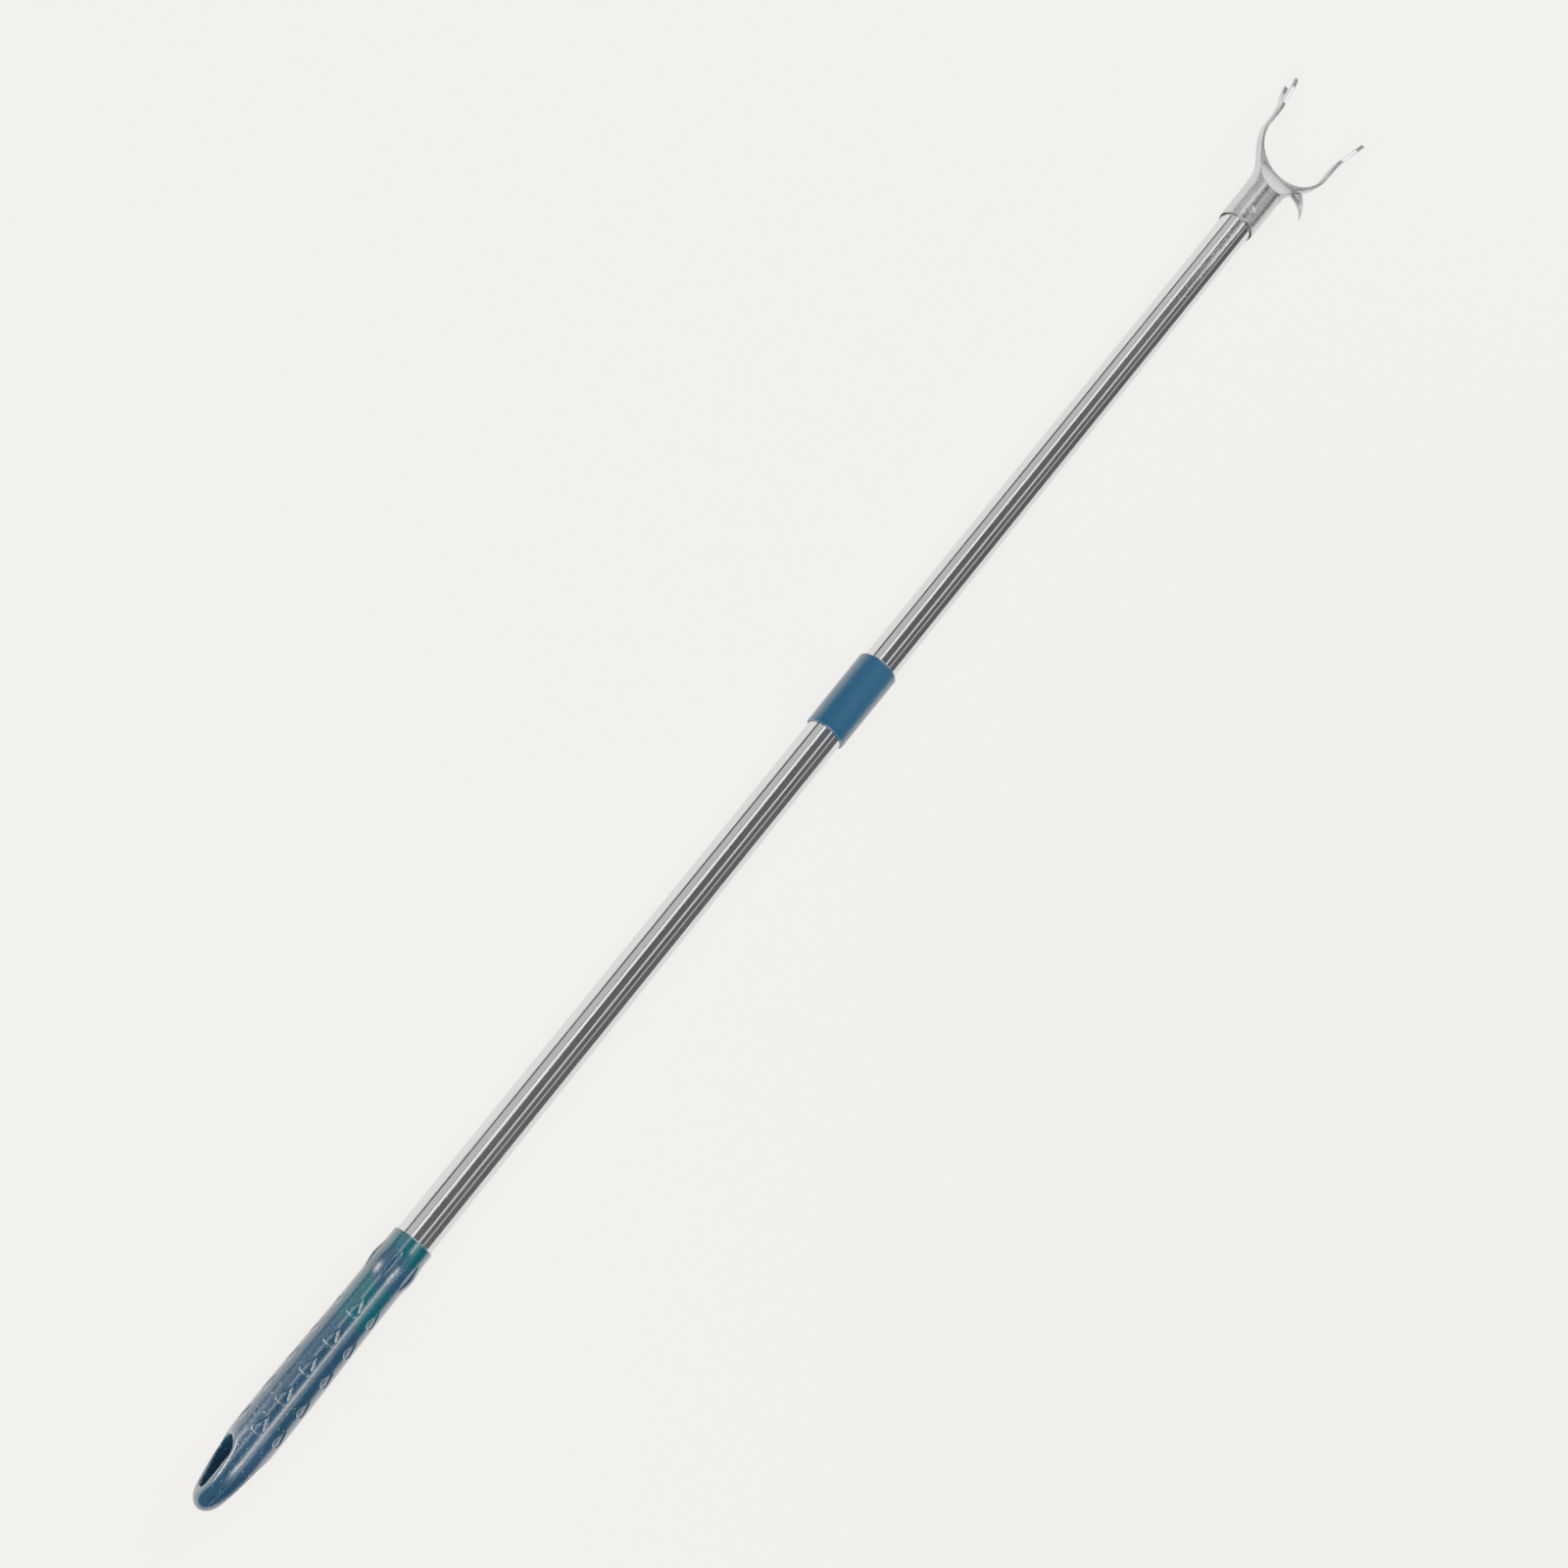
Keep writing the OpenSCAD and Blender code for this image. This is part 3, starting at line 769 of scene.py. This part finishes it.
lathe_piece(
    "lower_tube_steel", tube_profile(lower_lo[0], lower_hi[0], radius(lower_lo, lower_hi)),
    lower_steel, body_of["lower_tube"], "lower_tube_steel", replaced=["lower_tube"],
)
lathe_piece(
    "upper_tube_steel", tube_profile(upper_lo[0], upper_hi[0], radius(upper_lo, upper_hi)),
    upper_steel, body_of["upper_tube"], "upper_tube_steel", replaced=["upper_tube"],
)


def collar_profile():
    """The collar's section: wider at the top, rounded at both ends."""
    low_r, top_r = 0.0126, 0.0129
    x0, x1 = collar_lo[0], collar_hi[0]
    low_edge, top_edge = 0.0006, 0.0008
    turns = np.linspace(0, math.pi / 2, 6)
    span = x1 - x0 - low_edge - top_edge
    points = [
        (x0 + low_edge * (1 - math.cos(a)), low_r - low_edge * (1 - math.sin(a))) for a in turns
    ]
    points += [
        (x0 + low_edge + span * i / 24, low_r + (top_r - low_r) * i / 24) for i in range(1, 24)
    ]
    points += [
        (x1 - top_edge * (1 - math.sin(a)), top_r - top_edge * (1 - math.cos(a))) for a in turns
    ]
    points += [(x1, 0.01105), (x1 - 0.0004, 0.01095), (x0 + 0.0004, 0.01095), (x0, 0.01115)]
    return points


collar = lathe_piece(
    "collar_sleeve", collar_profile(), collar_plastic, body_of["collar"], "collar_plastic",
    replaced=["collar"],
)

# The pieces inside keep their CAD shape.
slot_of = {part["node"]: part["material_slot"] for part in frame["record"]["subparts"]}
for name, obj in frame["nodes"].items():
    if slot_of[name] in hidden:
        for material_slot in obj.material_slots:
            material_slot.material = hidden[slot_of[name]]


# ---- Floor, light and camera -------------------------------------------------------------


# how strongly the floor and the world light the pole, and how bright the camera sees them
FLOOR_FILL, FLOOR_GLOW = 0.7, 4.2
WORLD_FILL, WORLD_GLOW = 0.15, 6.0


def floor_material():
    """Pale paper, with a glow of its own that the pole hardly picks up."""
    look = Look("floor_paper", (0.86, 0.855, 0.84), 0.9)
    cloud = look.noise(1.2, 2.0, 0.5, seed=1)
    cloud = look.ramp(cloud, 0.3, 0.7, 0.0, 1.0)
    look.drive("Base Color", look.mix(cloud, (0.86, 0.85, 0.82), (0.875, 0.865, 0.835)))
    look.set("Emission Color", (1.0, 0.945, 0.74, 1.0))
    seen = look.tree.nodes.new("ShaderNodeLightPath").outputs["Is Camera Ray"]
    look.drive("Emission Strength", look.ramp(seen, 0.0, 1.0, FLOOR_FILL, FLOOR_GLOW))
    return look.material


bm = bmesh.new()
bmesh.ops.create_grid(bm, x_segments=8, y_segments=8, size=6.0)
mesh = bpy.data.meshes.new("floor")
bm.to_mesh(mesh)
bm.free()
floor = bpy.data.objects.new("floor", mesh)
floor.location = (0, 0, -0.0002)
mesh.materials.append(floor_material())
bpy.context.scene.collection.objects.link(floor)

world = bpy.data.worlds.new("studio")
world.use_nodes = True
background = world.node_tree.nodes["Background"]
background.inputs["Color"].default_value = (0.95, 0.97, 1.0, 1.0)
seen = world.node_tree.nodes.new("ShaderNodeLightPath")
glow = world.node_tree.nodes.new("ShaderNodeMapRange")
glow.inputs["To Min"].default_value = WORLD_FILL
glow.inputs["To Max"].default_value = WORLD_GLOW
world.node_tree.links.new(seen.outputs["Is Camera Ray"], glow.inputs["Value"])
world.node_tree.links.new(glow.outputs["Result"], background.inputs["Strength"])
bpy.context.scene.world = world


def area_light(name, at, look_at, size, power):
    """A rectangular lamp that the camera can't see."""
    data = bpy.data.lights.new(name, "AREA")
    data.shape = "RECTANGLE"
    data.size, data.size_y = size
    data.energy = power
    obj = bpy.data.objects.new(name, data)
    obj.location = at
    direction = Vector(look_at) - Vector(at)
    obj.rotation_euler = direction.to_track_quat("-Z", "Y").to_euler()
    obj.visible_camera = False
    bpy.context.scene.collection.objects.link(obj)
    return obj


def strip_light(name, lean, width, radiance):
    """A long light beside the pole, lean degrees from straight above it towards +Y."""
    reach, length = 1.5, 3.2
    a = math.radians(lean)
    data = bpy.data.lights.new(name, "AREA")
    data.shape = "RECTANGLE"
    data.size, data.size_y = length, width
    data.energy = math.pi * length * width * radiance
    obj = bpy.data.objects.new(name, data)
    out = Vector((0, math.sin(a), math.cos(a)))
    obj.matrix_world = Matrix.Translation(Vector((0.5, 0, AXIS_Z)) + out * reach) @ Matrix(
        ((1, 0, 0), Vector((0, math.cos(a), -math.sin(a))), out)
    ).transposed().to_4x4()
    obj.visible_camera = False
    bpy.context.scene.collection.objects.link(obj)
    return obj


def receivers(light, pieces, state):
    """Lights only these pieces, or all but these."""
    group = bpy.data.collections.new(light.name + "_receivers")
    for piece in pieces:
        group.objects.link(piece)
    for member in group.collection_objects:
        member.light_linking.link_state = state
    light.light_linking.receiver_collection = group


# name, lean in degrees, width, radiance
STRIPS = (
    ("strip_bright", 32.5, 0.235, 5.0),
    ("strip_middle", -15.9, 0.178, 1.3),
    ("strip_side", -47.5, 0.183, 0.5),
    ("soft_side", 59.0, 0.84, 0.75),
)
for strip in STRIPS:
    receivers(strip_light(*strip), [collar], "EXCLUDE")

# name, place, aim, size, power, pieces, whether only these or all but these receive it
GRIP_END = (-2.2, 0.2, 1.7)
LAMPS = (
    ("bulk_grip_end", GRIP_END, (-0.2, 0, 0), (2.0, 2.0), 140.0, [fork, rivet, grip], "EXCLUDE"),
    ("bulk_fork_end", (2.9, -0.2, 1.5), (0.3, 0, 0), (2.0, 2.0), 190.0, [fork, rivet], "EXCLUDE"),
    ("grip_soft", GRIP_END, (-0.2, 0, 0), (2.0, 2.0), 90.0, [grip], "INCLUDE"),
    ("ramp_glint", (0.41, -0.16, 1.25), (0.5, 0, 0), (0.34, 0.34), 7.0, [fork, rivet], "INCLUDE"),
    ("swell_glint", (-0.72, -0.255, 1.47), (-0.4, 0, 0), (0.2, 0.2), 3.4, [grip], "INCLUDE"),
    ("seam_glint", (-0.42, -0.30, 1.47), (-0.45, 0, 0), (0.5, 0.16), 4.0, [grip], "INCLUDE"),
    ("drop_glint", (-0.82, 1.35, 0.53), (-0.45, 0, 0), (0.30, 0.35), 24.0, [grip], "INCLUDE"),
    ("socket_fill", (1.465, -0.72, 1.05), (0.47, 0, 0), (0.9, 0.9), 1.2, [fork, rivet], "INCLUDE"),
    ("scoop_fill", (1.95, -0.22, 0.34), (0.47, 0, 0), (0.9, 0.6), 3.2, [fork, rivet], "INCLUDE"),
)
NO_GLOSS, ONLY_GLOSS = {"grip_soft"}, {"drop_glint"}
for name, place, aim, size, power, pieces, state in LAMPS:
    lamp = area_light(name, place, aim, size, power)
    lamp.visible_glossy = name not in NO_GLOSS
    lamp.visible_diffuse = name not in ONLY_GLOSS
    receivers(lamp, pieces, state)

# The pole runs up to the right at POLE_ANGLE in the picture.
POLE_ANGLE = math.radians(51)
eye = Vector((-0.50, 0.215, 1.27))
middle = Vector((-0.048, 0.0, AXIS_Z))
forward = (middle - eye).normalized()
along = Vector((1, 0, 0))
along = (along - forward * along.dot(forward)).normalized()
right_of = forward.cross(along)
image_right = (along * math.cos(POLE_ANGLE) + right_of * math.sin(POLE_ANGLE)).normalized()
image_up = image_right.cross(forward).normalized()
rotation = Matrix((image_right, image_up, -forward)).transposed()

camera_data = bpy.data.cameras.new("camera")
camera_data.lens = 55.5
camera_data.sensor_width = 36
camera = bpy.data.objects.new("camera", camera_data)
camera.matrix_world = Matrix.Translation(eye) @ rotation.to_4x4()
bpy.context.scene.collection.objects.link(camera)
bpy.context.scene.camera = camera
